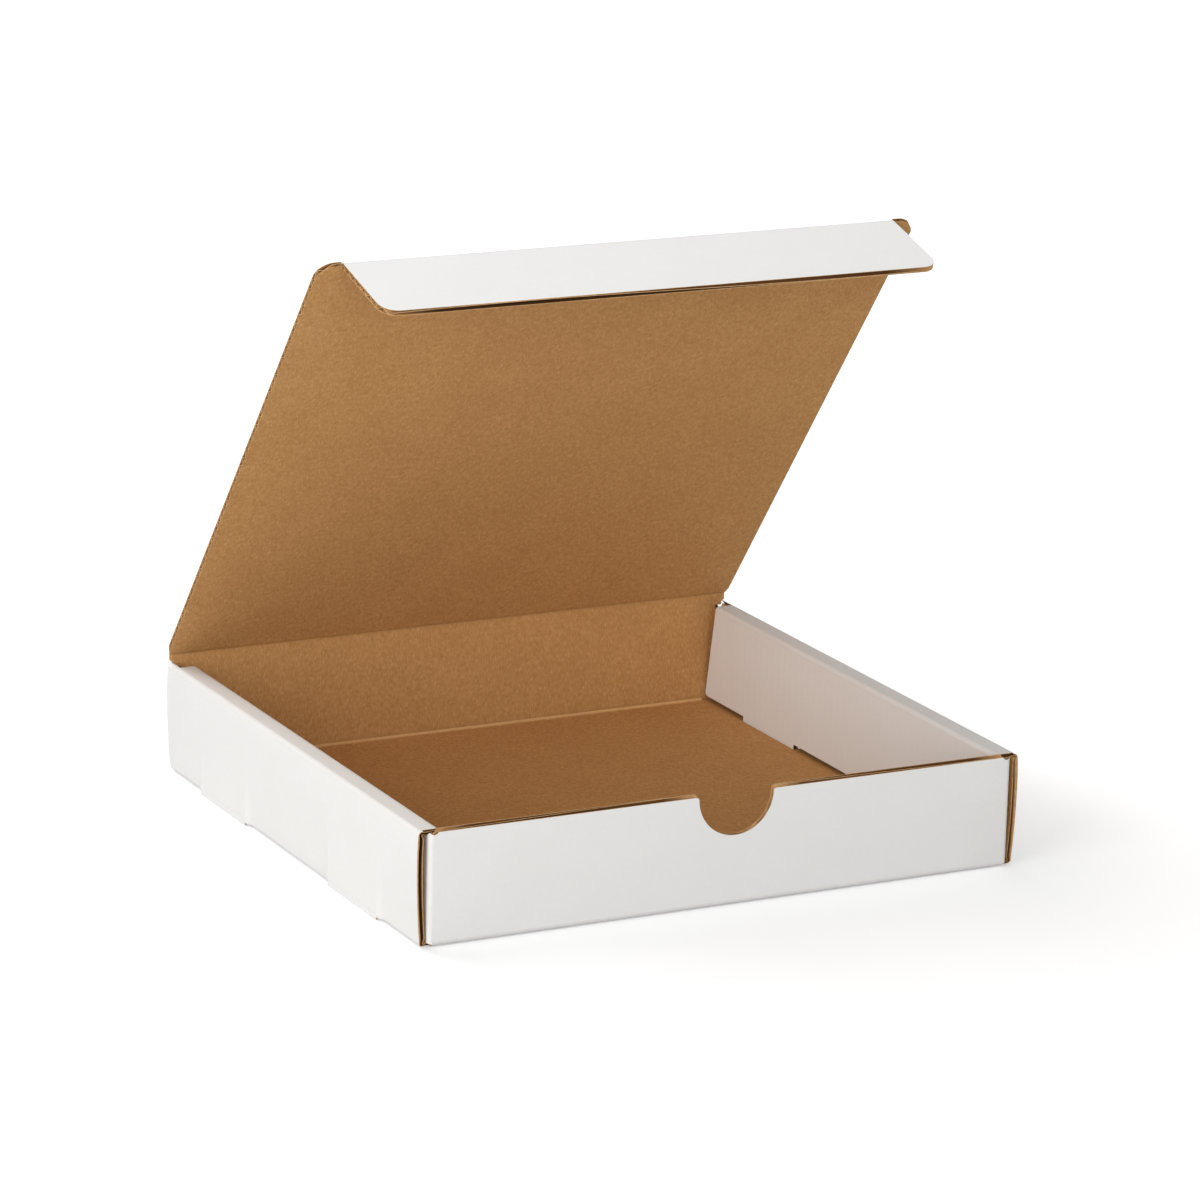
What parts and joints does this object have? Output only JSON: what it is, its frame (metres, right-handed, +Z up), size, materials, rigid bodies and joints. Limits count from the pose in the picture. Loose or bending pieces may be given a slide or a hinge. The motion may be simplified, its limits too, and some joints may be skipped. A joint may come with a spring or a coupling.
{
  "type": "document mailing box",
  "caption": "Shallow folded corrugated box with roll-over side walls, a thumb notch in front, and a hinged lid with a tuck flap.",
  "frame": {"origin": "middle of the tray's footprint, on the surface that the box stands on", "axes": "+X along the width, to the right seen from the front; -Y towards the front wall with the thumb notch; +Z up"},
  "size_m": [0.33, 0.311, 0.3059],
  "materials": {
    "tray_board": "white liner outside, bare brown inside",
    "lid_board": "white liner outside, bare brown inside",
    "tuck_board": "white liner outside, bare brown inside"
  },
  "bodies": {
    "tray": {"tray": "tray_board"},
    "lid": {"lid": "lid_board"},
    "tuck_flap": {"tuck_flap": "tuck_board"}
  },
  "joints": [
    {"name": "lid_hinge", "type": "hinge", "parent": "tray", "child": "lid", "pos_m": [0, 0.1555, 0.0635], "axis": [-1, 0, 0], "range_deg": [-52.5, 124.5]},
    {"name": "tuck_crease", "type": "hinge", "parent": "lid", "child": "tuck_flap", "pos_m": [0, -0.03048, 0.30587], "axis": [1, 0, 0], "range_deg": [-68.5, 29]}
  ],
  "couplings": [
    {"joint": "tuck_crease", "follows": "lid_hinge", "ratio": -0.55}
  ]
}
